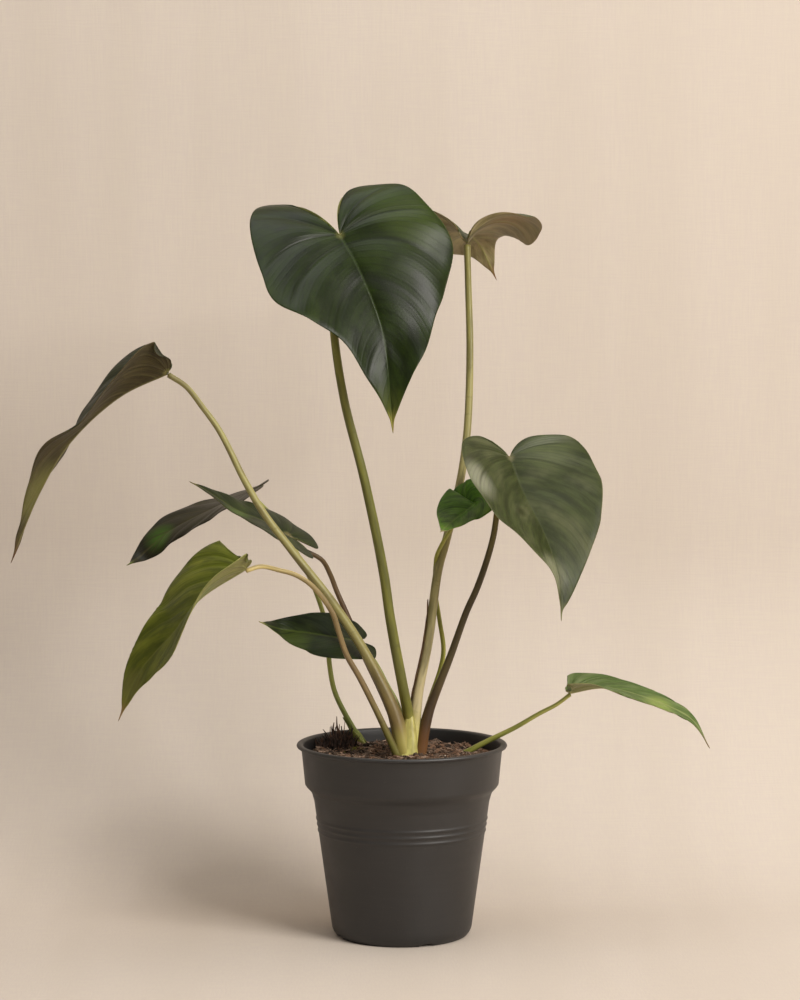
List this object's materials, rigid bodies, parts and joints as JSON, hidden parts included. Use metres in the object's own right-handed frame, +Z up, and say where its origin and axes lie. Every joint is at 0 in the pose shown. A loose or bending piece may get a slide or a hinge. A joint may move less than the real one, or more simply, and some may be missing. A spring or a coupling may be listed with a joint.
{
  "type": "potted homalomena plant",
  "caption": "Leafy foliage plant with heart-shaped, long-stalked leaves in a round tapered nursery pot filled with soil.",
  "frame": {"origin": "centre of the pot's base, on the surface that it stands on", "axes": "+Z up along the pot; the leaves spread mostly along X, and the pictured side faces -Y"},
  "size_m": [0.4967, 0.2695, 0.5332],
  "materials": {
    "pot": "moulded, matt, dark charcoal",
    "soil": "loose bark and peat crumbs",
    "blade": "satin, deep green, with sunken veins",
    "stalk": "smooth, olive to brown",
    "crown": "smooth, pale yellow-green",
    "dry_plant": "dry, fibrous, brown"
  },
  "bodies": {
    "root": {"pot": "pot", "soil": "soil", "crown": "crown", "blade_tall_front": "blade", "stalk_tall_front": "stalk", "blade_tall_back": "blade", "stalk_tall_back": "stalk", "blade_right_front": "blade", "stalk_right_front": "stalk", "blade_small_middle": "blade", "stalk_small_middle": "stalk", "blade_high_left": "blade", "stalk_high_left": "stalk", "blade_back_left": "blade", "stalk_back_left": "stalk", "blade_middle_left": "blade", "stalk_middle_left": "stalk", "blade_low_left": "blade", "stalk_low_left": "stalk", "blade_front_left": "blade", "stalk_front_left": "stalk", "blade_low_right": "blade", "stalk_low_right": "stalk", "bract": "dry_plant", "dried_stubs": "dry_plant"}
  },
  "joints": []
}
